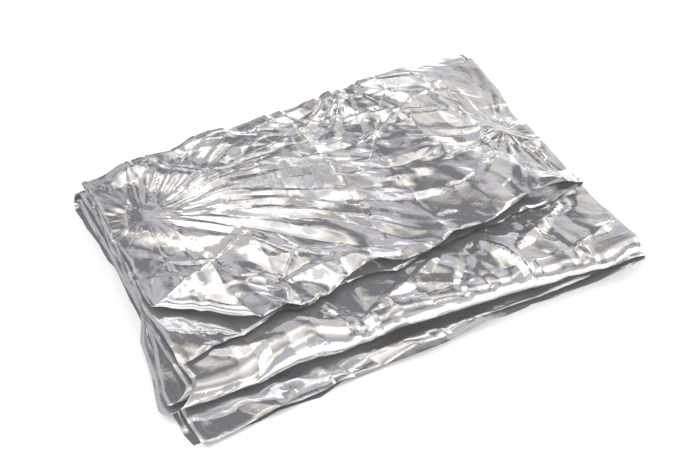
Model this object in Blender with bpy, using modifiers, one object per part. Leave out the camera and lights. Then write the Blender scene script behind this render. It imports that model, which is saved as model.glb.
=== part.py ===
"""Folded emergency foil blanket, as one sheet of metallised film.

The blanket is one cut length of film. It is folded in half across its width, so that
each layer is two films, and then back and forth into four panels. It lies on the floor
with its last panel on top, whose hem stops short of the front fold. The sheet starts as
a flat grid, and each point is then moved to its place in the folded blanket.

Metres, +Z up, +X to the right and -Y to the front. The origin is on the floor, in the
middle of the blanket.
"""

import math

import bmesh
import bpy
import numpy as np

# The sheet as it is cut. A true film is about 12 microns thick, and the solid is 1 mm.
SHEET_LENGTH = 2.10
SHEET_WIDTH = 1.40
THICKNESS = 0.001
HALF_WIDTH = SHEET_WIDTH / 2

# The pocket pack's creases cut the sheet into this many cells, in width and in length
CELLS_WIDE = 16
CELLS_LONG = 16
PANELS = 4
FILMS = 2 * PANELS
TOP = FILMS - 1
CELL_WIDE = SHEET_WIDTH / CELLS_WIDE
PANEL_CELLS = CELLS_LONG // PANELS

# Lines that the panels run between, from the floor up: where each crosses the middle,
# how far it slews, how far the sheet has slid sideways there, and how far the fold
# bulges past it with the film inside and outside
LINES = (
    # name, y, slew, slide, inner bulge, outer bulge
    ("floor_hem", -0.288, 0.040, 0.004, 0.000, 0.000),
    ("low_back_fold", 0.232, -0.022, 0.010, 0.012, 0.027),
    ("front_fold", -0.240, -0.034, -0.012, 0.013, 0.030),
    ("high_back_fold", 0.222, 0.042, 0.006, 0.013, 0.028),
    ("top_hem", -0.174, 0.105, -0.022, 0.000, 0.000),
)
FLOOR_HEM, LOW_BACK, FRONT, HIGH_BACK, TOP_HEM = range(len(LINES))

# Clear height under each film, from the film on the floor up: widest inside a fold,
# which springs open, and smallest where a hem lies on the film below it
GAPS = (
    # at the front, in the middle, at the back, uneven by
    (0.005, 0.006, 0.007, 0.0035),
    (0.006, 0.007, 0.019, 0.0040),
    (0.006, 0.007, 0.007, 0.0035),
    (0.017, 0.010, 0.006, 0.0045),
    (0.007, 0.007, 0.007, 0.0035),
    (0.006, 0.009, 0.020, 0.0050),
    (0.005, 0.010, 0.009, 0.0045),
)
GAP_SHAPE = 4
LEAST_GAP = 0.0050
# How much of each film's shape the next one up takes over
FOLLOWS = 0.6
GAP_SEED = 11

# Near the open left side, and near the top hem, films settle on the film below them:
# how far in they settle, and how much of their rise they lose
SETTLE_LEFT, SETTLE_LEFT_SHARE = 0.16, 0.50
SETTLE_HEM, SETTLE_HEM_SHARE = 0.10, 0.85

# Places where films have been pushed up, pulled out or drawn in
PULLS = (
    # first film, last film, x, y, reach, to the right, to the back, up
    (0, 3, -0.350, -0.250, 0.240, -0.034, -0.012, 0.000),
    (0, 3, 0.350, 0.236, 0.160, 0.008, 0.012, 0.000),
    (4, 5, -0.350, 0.230, 0.200, 0.016, -0.004, 0.004),
    (6, 7, -0.350, -0.215, 0.170, 0.010, 0.008, 0.006),
    (6, 7, -0.080, 0.060, 0.230, 0.000, 0.000, 0.016),
    (7, 7, 0.200, 0.130, 0.180, 0.000, 0.000, 0.014),
    (6, 7, 0.190, -0.080, 0.170, 0.000, 0.000, 0.010),
    (6, 7, -0.060, -0.180, 0.110, 0.000, 0.012, 0.007),
    (7, 7, 0.290, -0.150, 0.090, 0.000, 0.010, 0.008),
    (4, 5, 0.090, -0.230, 0.150, 0.000, -0.010, 0.009),
    (4, 5, -0.200, -0.240, 0.110, 0.000, 0.006, 0.008),
)

# The front left corner of the top film is turned back over a bend line: a point on the
# line, its bearing towards the corner in degrees, the bend's radius and the ear's slope
EAR_X, EAR_Y, EAR_BEARING = -0.284, -0.146, 229.0
EAR_RADIUS, EAR_SLOPE = 0.009, 27.0

# Straight pleats that spread from a pinched place on the top film
PLEATS = (
    # x and y of the pinch, bearing in degrees, reach, rise, half width at the far end
    (-0.290, 0.100, -47.0, 0.26, 0.0050, 0.013),
    (-0.290, 0.100, -39.0, 0.34, 0.0085, 0.016),
    (-0.290, 0.100, -32.0, 0.44, 0.0070, 0.015),
    (-0.290, 0.100, -26.5, 0.41, 0.0100, 0.018),
    (-0.290, 0.100, -21.0, 0.50, 0.0075, 0.016),
    (-0.290, 0.100, -15.5, 0.45, 0.0110, 0.019),
    (-0.290, 0.100, -10.0, 0.54, 0.0080, 0.017),
    (-0.290, 0.100, -4.5, 0.43, 0.0095, 0.018),
    (-0.290, 0.100, 1.5, 0.48, 0.0065, 0.015),
    (-0.290, 0.100, 8.5, 0.35, 0.0080, 0.016),
    (-0.290, 0.100, 17.0, 0.26, 0.0055, 0.014),
    (0.300, 0.030, 158.0, 0.17, 0.0050, 0.011),
    (0.300, 0.030, 172.0, 0.20, 0.0065, 0.012),
    (0.300, 0.030, 188.0, 0.19, 0.0060, 0.012),
    (0.120, 0.245, 196.0, 0.24, 0.0070, 0.017),
    (0.120, 0.245, 214.0, 0.21, 0.0065, 0.016),
    (0.120, 0.245, 236.0, 0.18, 0.0055, 0.016),
    (0.120, 0.245, 330.0, 0.23, 0.0075, 0.018),
    (0.120, 0.245, 308.0, 0.18, 0.0060, 0.016),
)
PLEAT_START, PLEAT_END, PLEAT_NECK = 0.30, 0.45, 0.46

# Long lone creases on the top film: ridges where the rise is positive, else troughs
CREASES = (
    # x and y of one end, x and y of the other, rise, half width
    (-0.340, 0.190, -0.100, 0.235, 0.0060, 0.020),
    (-0.220, 0.240, 0.020, 0.130, 0.0065, 0.024),
    (0.220, 0.110, 0.340, -0.030, 0.0065, 0.026),
    (-0.345, -0.030, -0.170, -0.130, 0.0065, 0.024),
    (-0.170, -0.130, 0.060, -0.165, 0.0070, 0.022),
    (-0.170, -0.130, -0.200, -0.215, 0.0050, 0.018),
    (-0.345, -0.110, -0.170, -0.130, -0.0050, 0.020),
)
CREASE_ENDS, CREASE_TIP = 0.12, 0.35

# Long narrow facets that point at each pinched place
STREAKS = (
    # x and y of the pinch, reach, seed, width at the reach, rise there
    (-0.290, 0.100, 0.34, 121, 0.024, 0.0050),
    (0.300, 0.030, 0.14, 122, 0.015, 0.0032),
    (0.120, 0.245, 0.18, 123, 0.019, 0.0036),
)
STREAK_LENGTH, STREAK_END = 7.0, 1.45

# Taut places on the top film, where its facets are fainter: a panel at the front right,
# and the part that the longest pleats run through
TAUT = (
    # x, y, bearing in degrees, half length, half width, share of the facets lost
    (0.165, -0.080, 0.0, 0.165, 0.090, 0.92),
    (-0.080, 0.035, -17.0, 0.240, 0.120, 0.70),
)

# The film under the top panel shows along the front, and has creases there
SHOWN = 5
SHOWN_CREASES = (
    # x and y of one end, x and y of the other, rise, half width
    (-0.330, -0.190, -0.190, -0.250, 0.0050, 0.014),
    (-0.150, -0.150, -0.110, -0.260, 0.0045, 0.013),
    (-0.110, -0.245, 0.060, -0.180, 0.0055, 0.015),
    (0.040, -0.255, 0.120, -0.170, -0.0040, 0.014),
    (0.120, -0.170, 0.160, -0.265, 0.0050, 0.014),
    (0.160, -0.220, 0.300, -0.140, 0.0060, 0.017),
    (0.240, -0.250, 0.345, -0.215, 0.0045, 0.014),
)

# Uneven facets over every film: size, rise on the shown films and inside the stack
FACETS = (
    # seed, size, rise where shown, rise inside
    (21, 0.085, 0.0055, 0.0022),
    (41, 0.042, 0.0024, 0.0010),
)
FACET_BEND, FACET_LEAN = 0.35, 0.45
PILLOW_SHOWN = 0.0050
PILLOW_INSIDE = 0.0016
PILLOW_SEED = 61
TABLE_SIZE = 64

# Narrow facets that run over the folds, on the film that shows in front of the top hem
CROSS_SEED, CROSS_WIDTH, CROSS_RISE, CROSS_LENGTH = 131, 0.026, 0.0030, 3.5

# The upper film of the floor panel is rumpled where it sticks out in front of the fold
OUT_IN_FRONT = 1
OUT_START, OUT_REACH = 0.012, 0.030
RUMPLE_SEED, RUMPLE_SIZE, RUMPLE_RISE, RUMPLE_LENGTH = 151, 0.034, 0.0060, 1.8

# Folds and hems wander by this much, in steps of about this size
FOLD_CRUMPLE, FOLD_STEP, FOLD_SEED = 0.30, 0.060, 81
FOLD_RIPPLE, RIPPLE_STEP = 0.08, 0.030
HEM_WANDER, HEM_STEP, HEM_SHARE, HEM_SEED = 0.009, 0.070, 0.30, 91
# How far each film sticks out on the open left side, from the floor up
HEM_OUT = (0.015, 0.0068, 0.012, 0.0015, 0.006, -0.0045, 0.000, -0.0075)

# Fold that closes the half width, along the right side
SPINE_BULGE = 0.011
SPINE_CRUMPLE, SPINE_STEP, SPINE_SEED = 0.36, 0.075, 101

# Sheet points along each stretch, and the share of faces kept after they are joined up
ROWS_PLAIN = 36
ROWS_TOP = 84
ROWS_FOLD = 7
COLUMNS_FINE = 112
COLUMNS_PLAIN = 60
COLUMNS_SPINE = 8
KEPT_SHARE = 0.0721

# Colour of the film
SILVER = (0.80, 0.80, 0.81, 1.0)


def tent(distance, half_width):
    """1 on the line, falling straight to 0 at the half width."""
    return np.clip(1.0 - np.abs(distance) / half_width, 0.0, 1.0)


def smooth(value):
    """0 to 1 with soft ends."""
    value = np.clip(value, 0.0, 1.0)
    return value * value * (3.0 - 2.0 * value)


def facets(seed, size, x, y):
    """Random heights, from -1 to 1, read straight across uneven triangles."""
    table = np.random.default_rng(seed).uniform(-1.0, 1.0, (TABLE_SIZE, TABLE_SIZE))
    bent_x = x / size + FACET_BEND * np.sin(1.7 * y / size + seed)
    bent_y = y / size + FACET_BEND * np.sin(1.3 * x / size - seed)
    across = bent_x + FACET_LEAN * bent_y
    i, j = np.floor(across).astype(int), np.floor(bent_y).astype(int)
    a, b = across - i, bent_y - j

    def at(column, row):
        return table[column % TABLE_SIZE, row % TABLE_SIZE]

    near, right, back, far = at(i, j), at(i + 1, j), at(i, j + 1), at(i + 1, j + 1)
    first = near + (right - near) * a + (back - near) * b
    second = far + (back - far) * (1 - a) + (right - far) * (1 - b)
    return np.where(a + b < 1.0, first, second)


def line_y(line, x):
    """Where a fold or hem line lies at x."""
    _, y, slew, _, _, _ = LINES[line]
    return y + slew * x


def pack_cells(x, y):
    """Position counted in pack cells, from the left hems and from the front fold."""
    along = (y - line_y(FRONT, x)) / (line_y(LOW_BACK, x) - line_y(FRONT, x))
    return (x + HALF_WIDTH / 2) / CELL_WIDE, along * PANEL_CELLS


def pillows(film, x, y):
    """Each pack cell springs up or down between its creases, from -1 to 1."""
    random = np.random.default_rng(PILLOW_SEED + film)
    table = random.uniform(-1.0, 1.0, (TABLE_SIZE, TABLE_SIZE))
    across, along = pack_cells(x, y)
    i, j = np.floor(across).astype(int), np.floor(along).astype(int)
    a, b = across - i, along - j
    bow = (1 - (2 * a - 1) ** 2) * (1 - (2 * b - 1) ** 2)
    return table[i % TABLE_SIZE, j % TABLE_SIZE] * bow


def pleats(x, y):
    """Height of the pleats that spread from the pinched places."""
    height = np.zeros(np.broadcast(x, y).shape)
    for pinch_x, pinch_y, bearing, reach, rise, half_width in PLEATS:
        right, back = math.cos(math.radians(bearing)), math.sin(math.radians(bearing))
        along = ((x - pinch_x) * right + (y - pinch_y) * back) / reach
        across = (y - pinch_y) * right - (x - pinch_x) * back
        share = PLEAT_NECK + (1 - PLEAT_NECK) * np.clip(along, 0.0, 1.0)
        fade = smooth(along / PLEAT_START) * smooth((1.0 - along) / PLEAT_END)
        height = height + rise * fade * tent(across, half_width * share)
    return height


def lone_creases(table, x, y):
    """Height of the long creases in a table."""
    height = np.zeros(np.broadcast(x, y).shape)
    for x0, y0, x1, y1, rise, half_width in table:
        length = math.hypot(x1 - x0, y1 - y0)
        right, back = (x1 - x0) / length, (y1 - y0) / length
        along = ((x - x0) * right + (y - y0) * back) / length
        across = (y - y0) * right - (x - x0) * back
        share = CREASE_TIP + (1 - CREASE_TIP) * np.sin(math.pi * np.clip(along, 0.0, 1.0))
        ends = smooth(along / CREASE_ENDS) * smooth((1.0 - along) / CREASE_ENDS)
        height = height + rise * ends * tent(across, half_width * share)
    return height


def streaks(x, y):
    """Height of the narrow facets round the pinched places, which start from nothing."""
    height = np.zeros(np.broadcast(x, y).shape)
    for pinch_x, pinch_y, reach, seed, width, rise in STREAKS:
        far = np.hypot(x - pinch_x, y - pinch_y)
        around = np.arctan2(y - pinch_y, x - pinch_x) * reach
        fade = np.minimum(far / reach, 1.0) * smooth(STREAK_END - far / reach)
        height = height + rise * fade * facets(seed, width, around, far / STREAK_LENGTH)
    return height


def facets_kept(x, y):
    """Share of its facets that the top film keeps, least in the taut places."""
    kept = np.ones(np.broadcast(x, y).shape)
    for taut_x, taut_y, bearing, half_length, half_width, lost in TAUT:
        right, back = math.cos(math.radians(bearing)), math.sin(math.radians(bearing))
        along = ((x - taut_x) * right + (y - taut_y) * back) / half_length
        across = ((y - taut_y) * right - (x - taut_x) * back) / half_width
        kept = kept * (1.0 - lost * smooth(2.0 - 2.0 * np.hypot(along, across)))
    return kept


def pulled(film, x, y):
    """How far a film is moved at a point, to the right, to the back and up."""
    moved = np.zeros((3,) + np.broadcast(x, y).shape)
    for first, last, pull_x, pull_y, reach, right, back, up in PULLS:
        if first <= film <= last:
            share = smooth(1.0 - np.hypot(x - pull_x, y - pull_y) / reach)
            moved = moved + share * np.reshape((right, back, up), (3,) + (1,) * share.ndim)
    return moved


def showing(film, x, y):
    """1 where a film shows, and 0 where it lies inside the stack."""
    if film == OUT_IN_FRONT:
        return smooth((line_y(FRONT, x) - OUT_START - y) / OUT_REACH)
    return float(film in (SHOWN, TOP))


def relief(film, x, y):
    """How far a film stands above its even height."""
    shows = showing(film, x, y)
    height = (PILLOW_INSIDE + (PILLOW_SHOWN - PILLOW_INSIDE) * shows) * pillows(film, x, y)
    for seed, size, rise_shown, rise_inside in FACETS:
        rise = rise_inside + (rise_shown - rise_inside) * shows
        height = height + rise * facets(seed + film, size, x, y)
    if film == TOP:
        height = height * facets_kept(x, y) + streaks(x, y)
        height = height + pleats(x, y) + lone_creases(CREASES, x, y)
    if film == OUT_IN_FRONT:
        rumple = 1.0 + facets(RUMPLE_SEED, RUMPLE_SIZE, x, y / RUMPLE_LENGTH)
        height = height + RUMPLE_RISE * shows * rumple
    if film == SHOWN:
        height = height + lone_creases(SHOWN_CREASES, x, y)
        height = height + CROSS_RISE * facets(CROSS_SEED, CROSS_WIDTH, x, y / CROSS_LENGTH)
    return height + pulled(film, x, y)[2]


def gap(index, x, y):
    """Even clear height between film index and the next one up."""
    at_front, in_middle, at_back, uneven = GAPS[index]
    across, along = pack_cells(x, y)
    share = np.clip(along / PANEL_CELLS, 0.0, 1.0)
    front_share = (1.0 - share) ** GAP_SHAPE
    back_share = share**GAP_SHAPE
    height = in_middle * (1.0 - front_share - back_share)
    height = height + at_front * front_share + at_back * back_share
    return height + uneven * facets(GAP_SEED + index, 1.0, across, along)


def settled(film, x, y):
    """Share of its rise that a film loses where it lies on the film below."""
    share = SETTLE_LEFT_SHARE * smooth(1.0 - (x + HALF_WIDTH / 2) / SETTLE_LEFT)
    if film == TOP - 1:
        near_hem = smooth(1.0 - (y - line_y(TOP_HEM, x)) / SETTLE_HEM)
        share = np.maximum(share, SETTLE_HEM_SHARE * near_hem)
    return share


def film_height(film, x, y):
    """Height of the middle of a film, counted from 0 on the floor to 7 on top."""
    height = np.full(np.broadcast(x, y).shape, THICKNESS / 2)
    even = height
    for index in range(film):
        step = THICKNESS + gap(index, x, y)
        below = even + FOLLOWS * (height - even)
        lowest = height + THICKNESS + LEAST_GAP
        rise = np.maximum(below + step + relief(index + 1, x, y) - lowest, 0.0)
        height = lowest + rise * (1.0 - settled(index + 1, x, y))
        even = even + step
    return height


def turned_back(x, y):
    """Rolls what lies past the bend line over it, and says how far each point is lifted."""
    right, back = math.cos(math.radians(EAR_BEARING)), math.sin(math.radians(EAR_BEARING))
    past = np.maximum((x - EAR_X) * right + (y - EAR_Y) * back, 0.0)
    angle = np.minimum(past / EAR_RADIUS, math.pi)
    over = past - angle * EAR_RADIUS
    slope = math.radians(EAR_SLOPE)
    moved = EAR_RADIUS * np.sin(angle) - over * math.cos(slope) - past
    lift = EAR_RADIUS * (1.0 - np.cos(angle)) + over * math.sin(slope)
    return x + moved * right, y + moved * back, lift


def placed(film, x, y, slide):
    """Points of a film, from where they would be in an even fold."""
    at_hem = smooth(-x / (HEM_SHARE * HALF_WIDTH) - 1.0)
    wander = HEM_WANDER * facets(HEM_SEED + film, HEM_STEP, y, 0 * x)
    right, back, _ = pulled(film, x, y)
    x, y, lift = x + slide + at_hem * (wander - HEM_OUT[film]) + right, y + back, 0.0
    if film == TOP:
        x, y, lift = turned_back(x, y)
    return np.stack([x, y, film_height(film, x, y) + lift], axis=-1)


def arm_film(arm, panel):
    """Which film of the stack one half of the sheet is, in a panel."""
    lower = (arm + panel) % 2 == 0
    return 2 * panel + (0 if lower else 1)


def panel_rows(arm, panel, x):
    """One half of a panel, from its first line to its last."""
    film = arm_film(arm, panel)
    rows = ROWS_TOP if panel == PANELS - 1 else ROWS_PLAIN
    t = np.linspace(0.0, 1.0, rows + 1)[:, None]
    y = line_y(panel, x) * (1 - t) + line_y(panel + 1, x) * t
    slide = LINES[panel][3] * (1 - t) + LINES[panel + 1][3] * t
    at_hem = (panel == FLOOR_HEM) * smooth(1.0 - t / HEM_SHARE)
    at_hem = at_hem + (panel + 1 == TOP_HEM) * smooth(1.0 - (1.0 - t) / HEM_SHARE)
    wander = HEM_WANDER * facets(HEM_SEED - film, HEM_STEP, x, 0 * y)
    return placed(film, x + 0 * y, y + at_hem * wander, slide)


def fold_rows(arm, line, low, high):
    """The rounded fold between the end rows of two panels, with its film in or out."""
    _, _, _, _, inner, outer = LINES[line]
    outside = arm_film(arm, line) - arm_film(arm, line - 1) == 3
    bulge = (outer if outside else inner) * (1.0 if line % 2 else -1.0)
    turn = np.linspace(0.0, math.pi, ROWS_FOLD + 2)[1:-1, None, None]
    points = (low + high) / 2 + (low - high) / 2 * np.cos(turn)
    x, z = points[..., 0], points[..., 2]
    uneven = FOLD_CRUMPLE * facets(FOLD_SEED + line, FOLD_STEP, x, z)
    uneven = uneven + FOLD_RIPPLE * facets(FOLD_SEED - line, RIPPLE_STEP, x, z / CROSS_LENGTH)
    points[..., 1] += bulge * np.sin(turn[..., 0]) * (1.0 + uneven)
    return points


def arm_rows(arm, x):
    """One half of the sheet, row by row along its length, as points (rows, columns, 3)."""
    panels = [panel_rows(arm, panel, x) for panel in range(PANELS)]
    blocks = [panels[0]]
    for line in (LOW_BACK, FRONT, HIGH_BACK):
        low, high = panels[line - 1][-1:], panels[line][:1]
        blocks += [fold_rows(arm, line, low, high), panels[line]]
    return np.concatenate(blocks)


def folded_sheet():
    """Every point of the sheet, (rows along the length, columns across the width, 3)."""
    first = arm_rows(0, np.linspace(-HALF_WIDTH / 2, HALF_WIDTH / 2, COLUMNS_FINE + 1))
    second = arm_rows(1, np.linspace(HALF_WIDTH / 2, -HALF_WIDTH / 2, COLUMNS_PLAIN + 1))
    low, high = first[:, -1:], second[:, :1]
    turn = np.linspace(0.0, math.pi, COLUMNS_SPINE + 2)[None, 1:-1, None]
    spine = (low + high) / 2 + (low - high) / 2 * np.cos(turn)
    crumple = facets(SPINE_SEED, SPINE_STEP, spine[..., 1], spine[..., 2])
    bulge = SPINE_BULGE * (1.0 + SPINE_CRUMPLE * crumple)
    spine[..., 0] += bulge * np.sin(turn[..., 0])
    return np.concatenate([first, spine, second], axis=1)


def clear_scene():
    for obj in list(bpy.data.objects):
        bpy.data.objects.remove(obj, do_unlink=True)


def film_material():
    material = bpy.data.materials.new("silver_film")
    material.use_nodes = True
    shader = material.node_tree.nodes["Principled BSDF"]
    shader.inputs["Base Color"].default_value = SILVER
    shader.inputs["Metallic"].default_value = 1.0
    shader.inputs["Roughness"].default_value = 0.2
    return material


def make_blanket(collection):
    """The sheet as a flat grid, folded by moving its points, then given its thickness."""
    points = folded_sheet()
    rows, columns = points.shape[:2]
    sheet = bmesh.new()
    bmesh.ops.create_grid(sheet, x_segments=columns - 1, y_segments=rows - 1, size=1.0)
    mesh = bpy.data.meshes.new("foil_blanket")
    sheet.to_mesh(mesh)
    sheet.free()
    low, high = points.min(axis=(0, 1)), points.max(axis=(0, 1))
    centre = np.array([(low[0] + high[0]) / 2, (low[1] + high[1]) / 2, 0.0])
    mesh.vertices.foreach_set("co", (points - centre).astype(np.float32).ravel())
    mesh.update()
    blanket = bpy.data.objects.new("foil_blanket", mesh)
    collection.objects.link(blanket)
    fewer = blanket.modifiers.new("fewer_faces", "DECIMATE")
    fewer.ratio = KEPT_SHARE
    thick = blanket.modifiers.new("thickness", "SOLIDIFY")
    thick.thickness = THICKNESS
    thick.offset = 0.0
    mesh.materials.append(film_material())
    return blanket


def main():
    clear_scene()
    collection = bpy.data.collections.new("folded_foil_blanket")
    bpy.context.scene.collection.children.link(collection)
    make_blanket(collection)


main()
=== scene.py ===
"""The look of the folded emergency foil blanket, in metres.

+Z is up, +X is to the right along the folds and -Y is the front.
"""

import math

import bmesh
import bpy
import numpy as np
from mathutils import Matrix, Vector


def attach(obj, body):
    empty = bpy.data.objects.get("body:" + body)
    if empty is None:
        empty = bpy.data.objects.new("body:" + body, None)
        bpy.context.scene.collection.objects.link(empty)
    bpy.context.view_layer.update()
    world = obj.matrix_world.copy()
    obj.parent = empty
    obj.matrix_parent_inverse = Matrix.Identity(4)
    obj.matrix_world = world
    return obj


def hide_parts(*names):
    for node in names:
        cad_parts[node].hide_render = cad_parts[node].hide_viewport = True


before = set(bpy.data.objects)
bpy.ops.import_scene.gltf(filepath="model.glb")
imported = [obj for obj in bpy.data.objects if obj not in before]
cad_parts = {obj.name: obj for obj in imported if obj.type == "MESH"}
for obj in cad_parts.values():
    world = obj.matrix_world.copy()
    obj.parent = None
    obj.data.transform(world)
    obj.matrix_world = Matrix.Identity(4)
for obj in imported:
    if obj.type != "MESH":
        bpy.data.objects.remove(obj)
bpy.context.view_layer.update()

# The blanket. One cut length of thin plastic film with a mirror coat of metal, and bare
# cut hems all round. It is folded in half across its width, then back and forth into
# four panels, and laid on the floor with its last panel and two of its hems on top.

# The sheet as it is cut, the room that each film takes up in the stack, and the cells that
# the creases of the pocket pack divide the sheet into
SHEET_LENGTH = 2.10
SHEET_WIDTH = 1.40
HALF_WIDTH = SHEET_WIDTH / 2
SOLID_THICKNESS = 0.001
CELLS_WIDE = 16
CELLS_LONG = 16
PANELS = 4
FILMS = 2 * PANELS
TOP = FILMS - 1
CELL_WIDE = SHEET_WIDTH / CELLS_WIDE
PANEL_CELLS = CELLS_LONG // PANELS

# Lines that the panels run between, from the floor up: where each crosses the middle,
# how far it slews, how far the sheet has slid sideways there, and how far the fold
# bulges past it with the film inside and outside
LINES = (
    # name, y, slew, slide, inner bulge, outer bulge
    ("floor_hem", -0.288, 0.040, 0.004, 0.000, 0.000),
    ("low_back_fold", 0.232, -0.022, 0.010, 0.012, 0.027),
    ("front_fold", -0.240, -0.034, -0.012, 0.013, 0.030),
    ("high_back_fold", 0.222, 0.042, 0.006, 0.013, 0.028),
    ("top_hem", -0.174, 0.105, -0.022, 0.000, 0.000),
)
FLOOR_HEM, LOW_BACK, FRONT, HIGH_BACK, TOP_HEM = range(len(LINES))

# Clear height over each film, from the film on the floor up: widest inside a fold,
# which springs open, and smallest where a hem lies on the film below it
GAPS = (
    # at the front, in the middle, at the back, uneven by
    (0.005, 0.006, 0.007, 0.0035),
    (0.006, 0.007, 0.019, 0.0040),
    (0.006, 0.007, 0.007, 0.0035),
    (0.017, 0.010, 0.006, 0.0045),
    (0.007, 0.007, 0.007, 0.0035),
    (0.006, 0.009, 0.020, 0.0050),
    (0.005, 0.010, 0.009, 0.0045),
)
LEAST_GAP = 0.0050
# How close to a fold line the height changes: a larger number is closer
GAP_SHAPE = 4
# How much of each film's shape the next one up takes over
FOLLOWS = 0.6
GAP_SEED = 11

# Near the open left side, and near the top hem, films settle on the film below them:
# how far in they settle, and how much of their rise they lose
SETTLE_LEFT, SETTLE_LEFT_SHARE = 0.16, 0.50
SETTLE_HEM, SETTLE_HEM_SHARE = 0.10, 0.85

# Places where films have been pushed up, pulled out or drawn in
PULLS = (
    # first film, last film, x, y, reach, to the right, to the back, up
    (0, 3, -0.350, -0.250, 0.240, -0.034, -0.012, 0.000),
    (0, 3, 0.350, 0.236, 0.160, 0.008, 0.012, 0.000),
    (4, 5, -0.350, 0.230, 0.200, 0.016, -0.004, 0.004),
    (6, 7, -0.350, -0.215, 0.170, 0.010, 0.008, 0.006),
    (6, 7, -0.080, 0.060, 0.230, 0.000, 0.000, 0.016),
    (7, 7, 0.200, 0.130, 0.180, 0.000, 0.000, 0.014),
    (6, 7, 0.190, -0.080, 0.170, 0.000, 0.000, 0.010),
    (6, 7, -0.060, -0.180, 0.110, 0.000, 0.012, 0.007),
    (7, 7, 0.290, -0.150, 0.090, 0.000, 0.010, 0.008),
    (4, 5, 0.090, -0.230, 0.150, 0.000, -0.010, 0.009),
    (4, 5, -0.200, -0.240, 0.110, 0.000, 0.006, 0.008),
)

# The front left corner of the top film is turned back over a bend line: a point on the
# line, its bearing towards the corner in degrees, the bend's radius and the ear's slope
EAR_X, EAR_Y, EAR_BEARING = -0.284, -0.146, 229.0
EAR_RADIUS, EAR_SLOPE = 0.009, 27.0

# Straight pleats that spread from a pinched place on the top film
PLEATS = (
    # x and y of the pinch, bearing in degrees, reach, rise, half width at the far end
    (-0.290, 0.100, -47.0, 0.26, 0.0050, 0.013),
    (-0.290, 0.100, -39.0, 0.34, 0.0085, 0.016),
    (-0.290, 0.100, -32.0, 0.44, 0.0070, 0.015),
    (-0.290, 0.100, -26.5, 0.41, 0.0100, 0.018),
    (-0.290, 0.100, -21.0, 0.50, 0.0075, 0.016),
    (-0.290, 0.100, -15.5, 0.45, 0.0110, 0.019),
    (-0.290, 0.100, -10.0, 0.54, 0.0080, 0.017),
    (-0.290, 0.100, -4.5, 0.43, 0.0095, 0.018),
    (-0.290, 0.100, 1.5, 0.48, 0.0065, 0.015),
    (-0.290, 0.100, 8.5, 0.35, 0.0080, 0.016),
    (-0.290, 0.100, 17.0, 0.26, 0.0055, 0.014),
    (0.300, 0.030, 158.0, 0.17, 0.0050, 0.011),
    (0.300, 0.030, 172.0, 0.20, 0.0065, 0.012),
    (0.300, 0.030, 188.0, 0.19, 0.0060, 0.012),
    (0.120, 0.245, 196.0, 0.24, 0.0070, 0.017),
    (0.120, 0.245, 214.0, 0.21, 0.0065, 0.016),
    (0.120, 0.245, 236.0, 0.18, 0.0055, 0.016),
    (0.120, 0.245, 330.0, 0.23, 0.0075, 0.018),
    (0.120, 0.245, 308.0, 0.18, 0.0060, 0.016),
)
# Shares of a pleat's reach over which it rises and fades, and its width at the pinch
PLEAT_START, PLEAT_END, PLEAT_NECK = 0.30, 0.45, 0.46

# Long lone creases on the top film: ridges where the rise is positive, else troughs
CREASES = (
    # x and y of one end, x and y of the other, rise, half width
    (-0.340, 0.190, -0.100, 0.235, 0.0060, 0.020),
    (-0.220, 0.240, 0.020, 0.130, 0.0065, 0.024),
    (0.220, 0.110, 0.340, -0.030, 0.0065, 0.026),
    (-0.345, -0.030, -0.170, -0.130, 0.0065, 0.024),
    (-0.170, -0.130, 0.060, -0.165, 0.0070, 0.022),
    (-0.170, -0.130, -0.200, -0.215, 0.0050, 0.018),
    (-0.345, -0.110, -0.170, -0.130, -0.0050, 0.020),
)
# Shares of a crease's length over which it fades, and its width at the tips
CREASE_ENDS, CREASE_TIP = 0.12, 0.35

# Long narrow facets that point at each pinched place
STREAKS = (
    # x and y of the pinch, reach, seed, width at the reach, rise there
    (-0.290, 0.100, 0.34, 121, 0.024, 0.0050),
    (0.300, 0.030, 0.14, 122, 0.015, 0.0032),
    (0.120, 0.245, 0.18, 123, 0.019, 0.0036),
    (-0.290, 0.100, 0.10, 124, 0.011, 0.0024),
    (0.300, 0.030, 0.06, 125, 0.008, 0.0014),
)
# How many times longer than wide they are, and where they end, in shares of the reach
STREAK_LENGTH, STREAK_END = 7.0, 1.45

# Taut places on the top film, where its facets are fainter: a panel at the front right,
# and the part that the longest pleats run through
TAUT = (
    # x, y, bearing in degrees, half length, half width, share of the facets lost
    (0.165, -0.080, 0.0, 0.165, 0.090, 0.92),
    (-0.080, 0.035, -17.0, 0.240, 0.120, 0.70),
)

# The film under the top panel shows along the front, and has creases there
SHOWN = 5
SHOWN_CREASES = (
    # x and y of one end, x and y of the other, rise, half width
    (-0.330, -0.190, -0.190, -0.250, 0.0050, 0.014),
    (-0.150, -0.150, -0.110, -0.260, 0.0045, 0.013),
    (-0.110, -0.245, 0.060, -0.180, 0.0055, 0.015),
    (0.040, -0.255, 0.120, -0.170, -0.0040, 0.014),
    (0.120, -0.170, 0.160, -0.265, 0.0050, 0.014),
    (0.160, -0.220, 0.300, -0.140, 0.0060, 0.017),
    (0.240, -0.250, 0.345, -0.215, 0.0045, 0.014),
)

# Uneven facets over every film, lower inside the stack
FACETS = (
    # seed, size, rise where shown, rise inside
    (21, 0.085, 0.0055, 0.0022),
    (41, 0.042, 0.0024, 0.0010),
)
# Their edges lean and bend in waves, so that they form no grid
FACET_BEND, FACET_LEAN = 0.35, 0.45
FACET_WAVE_X, FACET_WAVE_Y = 1.7, 1.3
# The cells between the pack creases spring up or down by up to this much
PILLOW_SHOWN = 0.0050
PILLOW_INSIDE = 0.0016
PILLOW_SEED = 61
# Random heights come from tables of this many rows and columns
TABLE_SIZE = 64

# Narrow facets that run over the folds, on the film that shows in front of the top hem
CROSS_SEED, CROSS_WIDTH, CROSS_RISE, CROSS_LENGTH = 131, 0.026, 0.0030, 3.5

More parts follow.
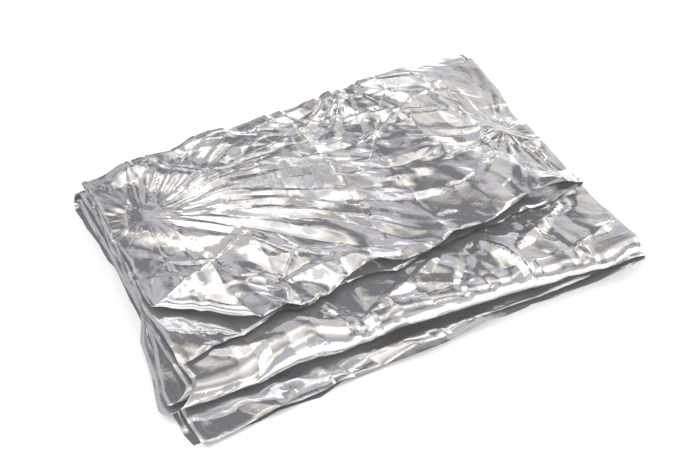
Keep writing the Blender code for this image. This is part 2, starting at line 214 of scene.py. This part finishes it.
# The upper film of the floor panel is rumpled where it sticks out in front of the fold
OUT_IN_FRONT = 1
OUT_START, OUT_REACH = 0.012, 0.030
RUMPLE_SEED, RUMPLE_SIZE, RUMPLE_RISE, RUMPLE_LENGTH = 151, 0.034, 0.0060, 1.8

# Folds and hems wander by this much, in steps of about this size
FOLD_CRUMPLE, FOLD_STEP, FOLD_SEED = 0.30, 0.060, 81
FOLD_RIPPLE, RIPPLE_STEP = 0.08, 0.030
HEM_WANDER, HEM_STEP, HEM_SHARE, HEM_SEED = 0.009, 0.070, 0.30, 91
# How far each film sticks out on the open left side, from the floor up
HEM_OUT = (0.015, 0.0068, 0.012, 0.0015, 0.006, -0.0045, 0.000, -0.0075)
# The cut hems curl down by up to this much, over this width, unevenly in steps, and by at
# least about this share of it
CURL_DROP, CURL_WIDTH, CURL_STEP, CURL_SEED = 0.0036, 0.007, 0.045, 201
CURL_LEAST = 0.55

# Thin creases that only the film's own sheet has: a net of raised webs at the front left,
# long straight lines over the top film and small dents in the taut panel
WEBS = (
    # x and y of one end, x and y of the other, rise, half width
    (-0.300, -0.010, -0.235, -0.040, 0.0026, 0.0055),
    (-0.235, -0.040, -0.180, -0.020, 0.0024, 0.0050),
    (-0.235, -0.040, -0.225, -0.095, 0.0028, 0.0055),
    (-0.225, -0.095, -0.165, -0.120, 0.0026, 0.0055),
    (-0.165, -0.120, -0.120, -0.085, 0.0024, 0.0050),
    (-0.165, -0.120, -0.150, -0.175, 0.0028, 0.0050),
    (-0.120, -0.085, -0.140, -0.040, 0.0022, 0.0050),
    (-0.120, -0.085, -0.060, -0.105, 0.0024, 0.0050),
    (-0.060, -0.105, -0.040, -0.160, 0.0024, 0.0050),
    (-0.300, -0.010, -0.345, -0.050, 0.0022, 0.0050),
)
LINES_ON_TOP = (
    # x and y of one end, x and y of the other, rise, half width
    (-0.060, 0.235, 0.300, 0.075, 0.0018, 0.0045),
    (0.020, 0.240, 0.335, 0.120, 0.0014, 0.0040),
    (-0.180, 0.215, 0.090, 0.180, 0.0016, 0.0045),
    (0.180, 0.205, 0.060, 0.040, -0.0014, 0.0040),
    (0.230, 0.220, 0.260, 0.060, 0.0015, 0.0040),
    (-0.330, 0.060, -0.270, 0.225, 0.0014, 0.0040),
    (-0.250, 0.225, -0.160, 0.120, -0.0015, 0.0045),
    (-0.120, 0.150, 0.130, 0.215, 0.0015, 0.0040),
    (0.060, 0.095, 0.290, 0.180, 0.0016, 0.0045),
    (0.310, -0.130, 0.335, 0.010, 0.0014, 0.0040),
    (-0.345, -0.095, -0.240, -0.070, 0.0014, 0.0040),
)
DENTS = (
    # x and y of one end, x and y of the other, rise, half width
    (0.135, -0.062, 0.160, -0.072, -0.0018, 0.0050),
    (0.160, -0.072, 0.190, -0.062, -0.0020, 0.0050),
    (0.205, -0.045, 0.232, -0.035, -0.0015, 0.0045),
    (0.095, -0.105, 0.125, -0.118, -0.0016, 0.0045),
    (0.210, -0.105, 0.236, -0.092, -0.0015, 0.0045),
)
# Thin crease lines of the pocket pack, on every film
RIB_RISE, RIB_WIDTH, RIB_SEED = 0.0012, 0.0045, 171
# A place at the back of the top film that is crumpled into small facets
CRUMPLED_X, CRUMPLED_Y, CRUMPLED_WIDE, CRUMPLED_LONG = 0.10, 0.16, 0.25, 0.11
CRUMPLED_SEED, CRUMPLED_SIZE, CRUMPLED_RISE = 161, 0.019, 0.0017

# Fold that closes the half width, along the right side
SPINE_BULGE = 0.011
SPINE_CRUMPLE, SPINE_STEP, SPINE_SEED = 0.36, 0.075, 101

# Rows and columns of points on each stretch of the sheet, with the rows of two panels
# closer together near the front, and how many triangles are kept
PANEL_ROWS = (40, 44, 110, 350)
FRONT_ROWS_SHARE = 1.8
ROWS_FOLD = 16
COLUMNS_FINE = 460
COLUMNS_PLAIN = 230
COLUMNS_SPINE = 10
MOST_TRIANGLES = 196000
# Creases steeper than this many degrees stay sharp
SHARP_CREASE = 14.0


def tent(distance, half_width):
    """1 on the line, falling straight to 0 at the half width."""
    return np.clip(1.0 - np.abs(distance) / half_width, 0.0, 1.0)


def smooth(value):
    """0 to 1 with soft ends."""
    value = np.clip(value, 0.0, 1.0)
    return value * value * (3.0 - 2.0 * value)


def oval(distance):
    """1 in the inner half of an oval place, falling softly to 0 at its rim."""
    return smooth(2.0 - 2.0 * distance)


def facets(seed, size, x, y):
    """Random heights, from -1 to 1, read straight across uneven triangles."""
    table = np.random.default_rng(seed).uniform(-1.0, 1.0, (TABLE_SIZE, TABLE_SIZE))
    bent_x = x / size + FACET_BEND * np.sin(FACET_WAVE_X * y / size + seed)
    bent_y = y / size + FACET_BEND * np.sin(FACET_WAVE_Y * x / size - seed)
    across = bent_x + FACET_LEAN * bent_y
    i, j = np.floor(across).astype(int), np.floor(bent_y).astype(int)
    a, b = across - i, bent_y - j

    def at(column, row):
        return table[column % TABLE_SIZE, row % TABLE_SIZE]

    near, right, back, far = at(i, j), at(i + 1, j), at(i, j + 1), at(i + 1, j + 1)
    first = near + (right - near) * a + (back - near) * b
    second = far + (back - far) * (1 - a) + (right - far) * (1 - b)
    return np.where(a + b < 1.0, first, second)


def line_y(line, x):
    """Where a fold or hem line lies at x."""
    _, y, slew, _, _, _ = LINES[line]
    return y + slew * x


def line_slide(line):
    """How far the sheet has slid sideways at a fold or hem line."""
    _, _, _, slide, _, _ = LINES[line]
    return slide


def pack_cells(x, y):
    """Position counted in pack cells, from the left hems and from the front fold."""
    along = (y - line_y(FRONT, x)) / (line_y(LOW_BACK, x) - line_y(FRONT, x))
    return (x + HALF_WIDTH / 2) / CELL_WIDE, along * PANEL_CELLS


def pillows(film, x, y):
    """Each pack cell springs up or down between its creases, from -1 to 1."""
    random = np.random.default_rng(PILLOW_SEED + film)
    table = random.uniform(-1.0, 1.0, (TABLE_SIZE, TABLE_SIZE))
    across, along = pack_cells(x, y)
    i, j = np.floor(across).astype(int), np.floor(along).astype(int)
    a, b = across - i, along - j
    bow = (1 - (2 * a - 1) ** 2) * (1 - (2 * b - 1) ** 2)
    return table[i % TABLE_SIZE, j % TABLE_SIZE] * bow


def pack_ribs(film, x, y):
    """Height of the thin crease lines that the pocket pack has left, up or down."""
    random = np.random.default_rng(RIB_SEED + film)
    table = random.uniform(-1.0, 1.0, (2, TABLE_SIZE, TABLE_SIZE))
    across, along = pack_cells(x, y)
    height = 0.0
    for way, (over, beside) in enumerate(((across, along), (along, across))):
        line, cell = np.rint(over).astype(int), np.floor(beside).astype(int)
        side = table[way, line % TABLE_SIZE, cell % TABLE_SIZE]
        height = height + side * tent((over - line) * CELL_WIDE, RIB_WIDTH)
    return RIB_RISE * height


def pleats(x, y):
    """Height of the pleats that spread from the pinched places."""
    height = np.zeros(np.broadcast(x, y).shape)
    for pinch_x, pinch_y, bearing, reach, rise, half_width in PLEATS:
        right, back = math.cos(math.radians(bearing)), math.sin(math.radians(bearing))
        along = ((x - pinch_x) * right + (y - pinch_y) * back) / reach
        across = (y - pinch_y) * right - (x - pinch_x) * back
        share = PLEAT_NECK + (1 - PLEAT_NECK) * np.clip(along, 0.0, 1.0)
        fade = smooth(along / PLEAT_START) * smooth((1.0 - along) / PLEAT_END)
        height = height + rise * fade * tent(across, half_width * share)
    return height


def lone_creases(table, x, y):
    """Height of the long creases in a table."""
    height = np.zeros(np.broadcast(x, y).shape)
    for x0, y0, x1, y1, rise, half_width in table:
        length = math.hypot(x1 - x0, y1 - y0)
        right, back = (x1 - x0) / length, (y1 - y0) / length
        along = ((x - x0) * right + (y - y0) * back) / length
        across = (y - y0) * right - (x - x0) * back
        share = CREASE_TIP + (1 - CREASE_TIP) * np.sin(math.pi * np.clip(along, 0.0, 1.0))
        ends = smooth(along / CREASE_ENDS) * smooth((1.0 - along) / CREASE_ENDS)
        height = height + rise * ends * tent(across, half_width * share)
    return height


def streaks(x, y):
    """Height of the narrow facets round the pinched places, which start from nothing."""
    height = np.zeros(np.broadcast(x, y).shape)
    for pinch_x, pinch_y, reach, seed, width, rise in STREAKS:
        far = np.hypot(x - pinch_x, y - pinch_y)
        around = np.arctan2(y - pinch_y, x - pinch_x) * reach
        fade = np.minimum(far / reach, 1.0) * smooth(STREAK_END - far / reach)
        height = height + rise * fade * facets(seed, width, around, far / STREAK_LENGTH)
    return height


def facets_kept(x, y):
    """Share of its facets that the top film keeps, least in the taut places."""
    kept = np.ones(np.broadcast(x, y).shape)
    for taut_x, taut_y, bearing, half_length, half_width, lost in TAUT:
        right, back = math.cos(math.radians(bearing)), math.sin(math.radians(bearing))
        along = ((x - taut_x) * right + (y - taut_y) * back) / half_length
        across = ((y - taut_y) * right - (x - taut_x) * back) / half_width
        kept = kept * (1.0 - lost * oval(np.hypot(along, across)))
    return kept


def crumpled(x, y):
    """Height of the small facets in the crumpled place."""
    across, along = (x - CRUMPLED_X) / CRUMPLED_WIDE, (y - CRUMPLED_Y) / CRUMPLED_LONG
    share = oval(np.hypot(across, along))
    return CRUMPLED_RISE * share * facets(CRUMPLED_SEED, CRUMPLED_SIZE, x, y)


def pulled(film, x, y):
    """How far a film is moved at a point, to the right, to the back and up."""
    moved = np.zeros((3,) + np.broadcast(x, y).shape)
    for first, last, pull_x, pull_y, reach, right, back, up in PULLS:
        if first <= film <= last:
            share = smooth(1.0 - np.hypot(x - pull_x, y - pull_y) / reach)
            moved = moved + share * np.reshape((right, back, up), (3,) + (1,) * share.ndim)
    return moved


def showing(film, x, y):
    """1 where a film shows, and 0 where it lies inside the stack."""
    if film == OUT_IN_FRONT:
        return smooth((line_y(FRONT, x) - OUT_START - y) / OUT_REACH)
    return float(film in (SHOWN, TOP))


def relief(film, x, y):
    """How far a film stands above its even height."""
    shows = showing(film, x, y)
    height = (PILLOW_INSIDE + (PILLOW_SHOWN - PILLOW_INSIDE) * shows) * pillows(film, x, y)
    for seed, size, rise_shown, rise_inside in FACETS:
        rise = rise_inside + (rise_shown - rise_inside) * shows
        height = height + rise * facets(seed + film, size, x, y)
    height = height + pack_ribs(film, x, y)
    if film == TOP:
        height = height * facets_kept(x, y) + streaks(x, y)
        height = height + pleats(x, y) + lone_creases(CREASES, x, y)
        height = height + lone_creases(WEBS + LINES_ON_TOP + DENTS, x, y)
        height = height + crumpled(x, y)
    if film == OUT_IN_FRONT:
        rumple = 1.0 + facets(RUMPLE_SEED, RUMPLE_SIZE, x, y / RUMPLE_LENGTH)
        height = height + RUMPLE_RISE * shows * rumple
    if film == SHOWN:
        height = height + lone_creases(SHOWN_CREASES, x, y)
        height = height + CROSS_RISE * facets(CROSS_SEED, CROSS_WIDTH, x, y / CROSS_LENGTH)
    _, _, up = pulled(film, x, y)
    return height + up


def gap(index, x, y):
    """Even clear height between film index and the next one up."""
    at_front, in_middle, at_back, uneven = GAPS[index]
    across, along = pack_cells(x, y)
    share = np.clip(along / PANEL_CELLS, 0.0, 1.0)
    front_share = (1.0 - share) ** GAP_SHAPE
    back_share = share**GAP_SHAPE
    height = in_middle * (1.0 - front_share - back_share)
    height = height + at_front * front_share + at_back * back_share
    return height + uneven * facets(GAP_SEED + index, 1.0, across, along)


def settled(film, x, y):
    """Share of its rise that a film loses where it lies on the film below."""
    share = SETTLE_LEFT_SHARE * smooth(1.0 - (x + HALF_WIDTH / 2) / SETTLE_LEFT)
    if film == TOP - 1:
        near_hem = smooth(1.0 - (y - line_y(TOP_HEM, x)) / SETTLE_HEM)
        share = np.maximum(share, SETTLE_HEM_SHARE * near_hem)
    return share


def film_height(film, x, y):
    """Height of the middle of a film, counted from 0 on the floor to 7 on top."""
    height = np.full(np.broadcast(x, y).shape, SOLID_THICKNESS / 2)
    even = height
    for index in range(film):
        step = SOLID_THICKNESS + gap(index, x, y)
        below = even + FOLLOWS * (height - even)
        lowest = height + SOLID_THICKNESS + LEAST_GAP
        rise = np.maximum(below + step + relief(index + 1, x, y) - lowest, 0.0)
        height = lowest + rise * (1.0 - settled(index + 1, x, y))
        even = even + step
    return height


def turned_back(x, y):
    """Rolls what lies past the bend line over it, and says how far each point is lifted."""
    right, back = math.cos(math.radians(EAR_BEARING)), math.sin(math.radians(EAR_BEARING))
    past = np.maximum((x - EAR_X) * right + (y - EAR_Y) * back, 0.0)
    angle = np.minimum(past / EAR_RADIUS, math.pi)
    over = past - angle * EAR_RADIUS
    slope = math.radians(EAR_SLOPE)
    moved = EAR_RADIUS * np.sin(angle) - over * math.cos(slope) - past
    lift = EAR_RADIUS * (1.0 - np.cos(angle)) + over * math.sin(slope)
    return x + moved * right, y + moved * back, lift


def curled(film, x, y, from_hem):
    """How far a film's hem curls down, but not where it lies on the floor."""
    uneven = CURL_LEAST + (1 - CURL_LEAST) * facets(CURL_SEED + film, CURL_STEP, x, y)
    curl = np.clip(1.0 - from_hem / CURL_WIDTH, 0.0, 1.0) ** 2
    return CURL_DROP * uneven * curl * (film > 0)


def placed(film, x, y, slide, from_hem):
    """Points of a film, from where they would be in an even fold."""
    drop = curled(film, x, y, from_hem)
    at_hem = smooth(-x / (HEM_SHARE * HALF_WIDTH) - 1.0)
    wander = HEM_WANDER * facets(HEM_SEED + film, HEM_STEP, y, 0 * x)
    right, back, _ = pulled(film, x, y)
    x, y, lift = x + slide + at_hem * (wander - HEM_OUT[film]) + right, y + back, 0.0
    if film == TOP:
        x, y, lift = turned_back(x, y)
    return np.stack([x, y, film_height(film, x, y) + lift - drop], axis=-1)


def arm_film(arm, panel):
    """Which film of the stack one half of the sheet is, in a panel."""
    lower = (arm + panel) % 2 == 0
    return 2 * panel + (0 if lower else 1)


def panel_share(panel):
    """Shares of a panel's length at its rows, closer together at the front."""
    share = np.linspace(0.0, 1.0, PANEL_ROWS[panel] + 1)[:, None]
    return share**FRONT_ROWS_SHARE if panel in (FLOOR_HEM, FRONT) else share


def panel_rows(arm, panel, x):
    """One half of a panel, from its first line to its last."""
    film = arm_film(arm, panel)
    t = panel_share(panel)
    y = line_y(panel, x) * (1 - t) + line_y(panel + 1, x) * t
    slide = line_slide(panel) * (1 - t) + line_slide(panel + 1) * t
    at_hem = (panel == FLOOR_HEM) * smooth(1.0 - t / HEM_SHARE)
    at_hem = at_hem + (panel + 1 == TOP_HEM) * smooth(1.0 - (1.0 - t) / HEM_SHARE)
    wander = HEM_WANDER * facets(HEM_SEED - film, HEM_STEP, x, 0 * y)
    from_hem = x + HALF_WIDTH / 2 + 0 * y
    if panel == FLOOR_HEM:
        from_hem = np.minimum(from_hem, y - line_y(FLOOR_HEM, x))
    if panel + 1 == TOP_HEM:
        from_hem = np.minimum(from_hem, y - line_y(TOP_HEM, x))
    return placed(film, x + 0 * y, y + at_hem * wander, slide, from_hem)


def fold_rows(arm, line, low, high):
    """The rounded fold between the end rows of two panels, with its film in or out."""
    _, _, _, _, inner, outer = LINES[line]
    outside = arm_film(arm, line) - arm_film(arm, line - 1) > 1
    to_the_back = line in (LOW_BACK, HIGH_BACK)
    bulge = (outer if outside else inner) * (1.0 if to_the_back else -1.0)
    turn = np.linspace(0.0, math.pi, ROWS_FOLD + 2)[1:-1, None, None]
    points = (low + high) / 2 + (low - high) / 2 * np.cos(turn)
    x, z = points[..., 0], points[..., 2]
    uneven = FOLD_CRUMPLE * facets(FOLD_SEED + line, FOLD_STEP, x, z)
    uneven = uneven + FOLD_RIPPLE * facets(FOLD_SEED - line, RIPPLE_STEP, x, z / CROSS_LENGTH)
    points[..., 1] += bulge * np.sin(turn[..., 0]) * (1.0 + uneven)
    return points


def arm_rows(arm, x):
    """One half of the sheet, row by row along its length, as points (rows, columns, 3)."""
    panels = [panel_rows(arm, panel, x) for panel in range(PANELS)]
    blocks = [panels[0]]
    for line in (LOW_BACK, FRONT, HIGH_BACK):
        low, high = panels[line - 1][-1:], panels[line][:1]
        blocks += [fold_rows(arm, line, low, high), panels[line]]
    return np.concatenate(blocks)


first_half = arm_rows(0, np.linspace(-HALF_WIDTH / 2, HALF_WIDTH / 2, COLUMNS_FINE + 1))
second_half = arm_rows(1, np.linspace(HALF_WIDTH / 2, -HALF_WIDTH / 2, COLUMNS_PLAIN + 1))
low, high = first_half[:, -1:], second_half[:, :1]
turn = np.linspace(0.0, math.pi, COLUMNS_SPINE + 2)[None, 1:-1, None]
spine = (low + high) / 2 + (low - high) / 2 * np.cos(turn)
crumple = facets(SPINE_SEED, SPINE_STEP, spine[..., 1], spine[..., 2])
spine[..., 0] += SPINE_BULGE * (1.0 + SPINE_CRUMPLE * crumple) * np.sin(turn[..., 0])
points = np.concatenate([first_half, spine, second_half], axis=1)

# The sheet starts as a flat grid that keeps its cut sizes as its texture coordinates
rows, columns = points.shape[:2]
grid = bmesh.new()
bmesh.ops.create_grid(grid, x_segments=columns - 1, y_segments=rows - 1, size=1.0)
sheet_mesh = bpy.data.meshes.new("foil_sheet")
grid.to_mesh(sheet_mesh)
grid.free()
corner, far_corner = points.min(axis=(0, 1)), points.max(axis=(0, 1))
middle = np.array([(corner[0] + far_corner[0]) / 2, (corner[1] + far_corner[1]) / 2, 0.0])
sheet_mesh.vertices.foreach_set("co", (points - middle).astype(np.float32).ravel())
sheet_mesh.update()
sheet_mesh.shade_smooth()


def cut_place(distance_along, cut_size):
    """Places on the flat sheet, in metres, of rows or columns this far apart."""
    return distance_along / distance_along[-1] * cut_size


row_steps = np.linalg.norm(np.diff(points, axis=0), axis=2).mean(axis=1)
column_steps = np.linalg.norm(np.diff(points, axis=1), axis=2).mean(axis=0)
row_places = cut_place(np.concatenate([[0.0], np.cumsum(row_steps)]), SHEET_LENGTH)
column_places = cut_place(np.concatenate([[0.0], np.cumsum(column_steps)]), SHEET_WIDTH)
corners = np.empty(len(sheet_mesh.loops), np.int32)
sheet_mesh.loops.foreach_get("vertex_index", corners)
cut_places = np.stack([column_places[corners % columns], row_places[corners // columns]], 1)
cut_map = sheet_mesh.uv_layers.new(name="cut_sheet")
cut_map.data.foreach_set("uv", cut_places.astype(np.float32).ravel())

blanket = bpy.data.objects.new("foil_sheet", sheet_mesh)
bpy.context.scene.collection.objects.link(blanket)
fewer = blanket.modifiers.new("fewer_faces", "DECIMATE")
fewer.ratio = MOST_TRIANGLES / (2 * (rows - 1) * (columns - 1))
bpy.context.view_layer.update()
lighter_mesh = bpy.data.meshes.new_from_object(
    blanket.evaluated_get(bpy.context.evaluated_depsgraph_get())
)
blanket.modifiers.clear()
blanket.data = lighter_mesh
lighter_mesh.name = "foil_sheet"
lighter_mesh.shade_smooth()
lighter_mesh.set_sharp_from_angle(angle=math.radians(SHARP_CREASE))

# Its finish: bright metal seen through clear plastic, mirror-like in the calm places and
# broken up by fine crinkles, with cooler and warmer light caught in its folds
FILM_COLOUR = (0.90, 0.90, 0.905, 1.0)
FILM_SHADE = (0.84, 0.83, 0.85, 1.0)
# How much of the film acts as bare metal, and a faint painted glow that lifts its deep gaps
METAL_SHARE, PAINTED_GLOW = 0.88, 0.010
# Fine crinkles with bent edges, in places
CRINKLES = (
    # cells in a metre, share of the height
    (60.0, 0.50),
    (130.0, 0.22),
)
CRINKLE_EDGE, CRINKLE_BEND = 0.22, 0.012
CRINKLED_FROM, CRINKLED_FULL = 0.48, 0.62
# One place at the right of the top film is rubbed dull, with fine wrinkles side by side
RUBBED_PLACE = (0.60, 1.80, 0.0)
RUBBED_INSIDE, RUBBED_OUTSIDE, RUBBED_UNEVEN = 0.12, 0.19, 0.10
WRINKLE_TURN, WRINKLES_IN_A_METRE = (0.0, 0.0, 0.7), (210.0, 34.0, 1.0)
WRINKLE_SHARE = 2.2
FINISH_DEPTH, FINISH_STRENGTH = 0.0006, 0.30
# How rough the clean film is, and how much haze and rubbing add
CLEAN_ROUGHNESS, HAZE_ROUGHNESS, RUBBED_ROUGHNESS = 0.035, 0.07, 0.16
HAZE_FROM, HAZE_FULL = 0.35, 0.75
# Uneven spots in the finish
BENT_SPOTS = {"Scale": 26.0, "Detail": 2.0}
CRINKLED_SPOTS = {"Scale": 42.0, "Detail": 3.0}
RUBBED_SPOTS = {"Scale": 14.0, "Detail": 2.0}
WRINKLE_SPOTS = {"Scale": 1.0, "Detail": 2.0}
HAZE_SPOTS = {"Scale": 9.0, "Detail": 4.0}


class Wire:
    """A value in a shader. Sums written with it become Math nodes."""

    tree = None

    def __init__(self, socket):
        self.socket = socket

    @classmethod
    def node(cls, kind, settings=None, sockets=None, out=0):
        """A node of the given type, with its settings made before its sockets are filled."""
        made = cls.tree.nodes.new("ShaderNode" + kind)
        for name, value in (settings or {}).items():
            if name == "stops":
                ramp = made.color_ramp
                while len(ramp.elements) < len(value):
                    ramp.elements.new(position=0.5)
                for stop, (position, colour) in zip(ramp.elements, value):
                    stop.position, stop.color = position, colour
            else:
                setattr(made, name, value)
        for name, value in (sockets or {}).items():
            slot = made.inputs[name]
            if isinstance(value, cls):
                cls.tree.links.new(value.socket, slot)
            else:
                slot.default_value = value
        return cls(made.outputs[out])

    def _math(self, operation, first, second):
        return Wire.node("Math", {"operation": operation}, {0: first, 1: second})

    def __add__(self, other):
        return self._math("ADD", self, other)

    def __radd__(self, other):
        return self._math("ADD", other, self)

    def __sub__(self, other):
        return self._math("SUBTRACT", self, other)

    def __rsub__(self, other):
        return self._math("SUBTRACT", other, self)

    def __mul__(self, other):
        return self._math("MULTIPLY", self, other)

    def __rmul__(self, other):
        return self._math("MULTIPLY", other, self)


# Which inputs and which output a mix of each kind uses
MIX_SLOTS = {"VECTOR": (4, 5, 1), "RGBA": (6, 7, 2)}


def ramp(value, stops):
    """The colour at a value, between the colours of its stops."""
    return Wire.node("ValToRGB", {"stops": stops}, {"Fac": value})


def steps(value, low_end, high_end):
    """0 below the low end, 1 above the high end and a soft rise between."""
    settings = {"interpolation_type": "SMOOTHSTEP", "clamp": True}
    ends = {"Value": value, "From Min": low_end, "From Max": high_end}
    return Wire.node("MapRange", settings, ends)


def spots(place, kind, out="Fac"):
    """Soft uneven spots over a place."""
    return Wire.node("TexNoise", {}, {"Vector": place, **kind}, out)


def mixed(share, first, second, kind="RGBA", blend="MIX"):
    """A share of the second colour or vector over the first, or multiplied into it."""
    first_slot, second_slot, out = MIX_SLOTS[kind]
    sockets = {"Factor": share, first_slot: first, second_slot: second}
    return Wire.node("Mix", {"data_type": kind, "blend_type": blend}, sockets, out)


mirror_film = bpy.data.materials.new("mirror_film")
mirror_film.use_nodes = True
Wire.tree = mirror_film.node_tree
shader = mirror_film.node_tree.nodes["Principled BSDF"]
shader.inputs["Metallic"].default_value = METAL_SHARE
# The film glows faintly all over in its own colour: painted light that lifts its deep gaps
shader.inputs["Emission Color"].default_value = FILM_COLOUR
shader.inputs["Emission Strength"].default_value = PAINTED_GLOW

cut = Wire.node("UVMap", {"uv_map": "cut_sheet"})
bent = mixed(CRINKLE_BEND, cut, spots(cut, BENT_SPOTS, "Color"), "VECTOR")
crinkles = 0.0
for cells, share in CRINKLES:
    place = {"Vector": bent, "Scale": cells}
    edge = Wire.node("TexVoronoi", {"feature": "DISTANCE_TO_EDGE"}, place)
    crinkles = steps(edge, 0.0, CRINKLE_EDGE) * share + crinkles
crinkled_where = steps(spots(cut, CRINKLED_SPOTS), CRINKLED_FROM, CRINKLED_FULL)
apart = Wire.node("VectorMath", {"operation": "DISTANCE"}, {0: cut, 1: RUBBED_PLACE}, "Value")
uneven = apart + spots(cut, RUBBED_SPOTS) * RUBBED_UNEVEN
rubbed = 1.0 - steps(uneven, RUBBED_INSIDE, RUBBED_OUTSIDE)
turned = {"Vector": cut, "Rotation": WRINKLE_TURN, "Scale": WRINKLES_IN_A_METRE}
wrinkles = spots(Wire.node("Mapping", {}, turned), WRINKLE_SPOTS)
height = crinkles * crinkled_where + wrinkles * rubbed * WRINKLE_SHARE
raised = {"Strength": FINISH_STRENGTH, "Distance": FINISH_DEPTH, "Height": height}
Wire.tree.links.new(Wire.node("Bump", {}, raised).socket, shader.inputs["Normal"])

haze = steps(spots(cut, HAZE_SPOTS), HAZE_FROM, HAZE_FULL)
roughness = CLEAN_ROUGHNESS + haze * HAZE_ROUGHNESS + rubbed * RUBBED_ROUGHNESS
Wire.tree.links.new(roughness.socket, shader.inputs["Roughness"])
colour = mixed(haze, FILM_COLOUR, FILM_SHADE)
Wire.tree.links.new(colour.socket, shader.inputs["Base Color"])

blanket.data.materials.clear()
blanket.data.materials.append(mirror_film)
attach(blanket, "root")
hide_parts("foil_blanket")

# The floor. A wide pale sweep, which is not part of the blanket, with a matt finish.
FLOOR_SIZE = 14.0
FLOOR_COLOUR = (0.94, 0.94, 0.94, 1.0)
FLOOR_ROUGHNESS = 0.65

floor_grid = bmesh.new()
bmesh.ops.create_grid(floor_grid, x_segments=1, y_segments=1, size=FLOOR_SIZE / 2)
floor_mesh = bpy.data.meshes.new("studio_floor")
floor_grid.to_mesh(floor_mesh)
floor_grid.free()
floor = bpy.data.objects.new("studio_floor", floor_mesh)
bpy.context.scene.collection.objects.link(floor)
floor_paint = bpy.data.materials.new("pale_floor")
floor_paint.use_nodes = True
floor_shader = floor_paint.node_tree.nodes["Principled BSDF"]
floor_shader.inputs["Base Color"].default_value = FLOOR_COLOUR
floor_shader.inputs["Roughness"].default_value = FLOOR_ROUGHNESS
floor_mesh.materials.append(floor_paint)

# The light. A studio with pale walls, white panels and some darker gaps between them, which
# the film mirrors, and three large soft boxes that light the floor.
WALL_STOPS = (
    (0.300, (0.07, 0.07, 0.08, 1.0)),
    (0.350, (0.23, 0.23, 0.24, 1.0)),
    (0.450, (0.47, 0.47, 0.48, 1.0)),
    (0.540, (0.82, 0.82, 0.83, 1.0)),
    (0.560, (1.28, 1.28, 1.28, 1.0)),
    (0.680, (1.70, 1.70, 1.70, 1.0)),
)
# Where the pattern of panels starts, and how large the panels and the tints are
WALLS_FROM = (0.0, 4.0, 2.0)
WALL_SPOTS = {"Scale": 1.6, "Detail": 1.0}
TINT_SPOTS = {"Scale": 1.7, "Detail": 0.0}
# What lights all that is not a mirror, and how much darker the room is straight overhead
PLAIN_WALL = (1.00, 1.00, 1.00, 1.0)
CEILING_FROM, CEILING_SHADE = 0.88, (0.50, 0.50, 0.51, 1.0)
TINT_STOPS = (
    (0.38, (1.00, 0.95, 0.88, 1.0)),
    (0.50, (1.00, 1.00, 1.00, 1.0)),
    (0.62, (0.93, 0.93, 1.00, 1.0)),
)
SOFT_BOXES = (
    # name, x, y, z, width, height, watts, colour
    ("key_box", -1.6, 0.6, 1.9, 1.6, 1.2, 26.0, (1.0, 1.0, 1.0)),
    ("back_box", 0.9, 2.2, 1.3, 1.8, 0.9, 14.0, (1.0, 1.0, 1.0)),
    ("side_box", 2.0, -0.8, 1.4, 0.9, 1.2, 8.0, (1.0, 0.97, 0.93)),
)

studio = bpy.data.worlds.new("studio")
studio.use_nodes = True
bpy.context.scene.world = studio
Wire.tree = studio.node_tree
around = Wire.node("TexCoord", out="Generated")
shifted = Wire.node("VectorMath", {"operation": "ADD"}, {0: around, 1: WALLS_FROM})
walls = ramp(spots(shifted, WALL_SPOTS), WALL_STOPS)
tints = ramp(spots(around, TINT_SPOTS), TINT_STOPS)
upward = Wire.node("SeparateXYZ", {}, {"Vector": around}, "Z")
room = mixed(1.0, walls, tints, blend="MULTIPLY")
room = mixed(steps(upward, CEILING_FROM, 1.0), room, CEILING_SHADE, blend="MULTIPLY")
light = mixed(Wire.node("LightPath", out="Is Glossy Ray"), PLAIN_WALL, room)
background = studio.node_tree.nodes["Background"]
Wire.tree.links.new(light.socket, background.inputs["Color"])

for name, x, y, z, width, box_height, watts, box_colour in SOFT_BOXES:
    lamp = bpy.data.lights.new(name, "AREA")
    lamp.shape = "RECTANGLE"
    lamp.size, lamp.size_y = width, box_height
    lamp.energy, lamp.color = watts, box_colour
    soft_box = bpy.data.objects.new(name, lamp)
    bpy.context.scene.collection.objects.link(soft_box)
    soft_box.location = (x, y, z)
    soft_box.visible_glossy = False
    soft_box.rotation_euler = (-Vector((x, y, z))).to_track_quat("-Z", "Y").to_euler()

# The view. It looks down on the blanket from beyond its front left corner.
AZIMUTH, ELEVATION = math.radians(-28.0), math.radians(38.0)
DISTANCE, LENS = 2.12, 72.0
LOOKS_AT = Vector((0.0, -0.012, 0.02))

camera = bpy.data.objects.new("camera", bpy.data.cameras.new("camera"))
bpy.context.scene.collection.objects.link(camera)
camera.data.lens = LENS
away = Vector(
    (
        math.sin(AZIMUTH) * math.cos(ELEVATION),
        -math.cos(AZIMUTH) * math.cos(ELEVATION),
        math.sin(ELEVATION),
    )
)
camera.location = LOOKS_AT + DISTANCE * away
camera.rotation_euler = (-away).to_track_quat("-Z", "Y").to_euler()
bpy.context.scene.camera = camera
bpy.context.scene.view_settings.view_transform = "Standard"
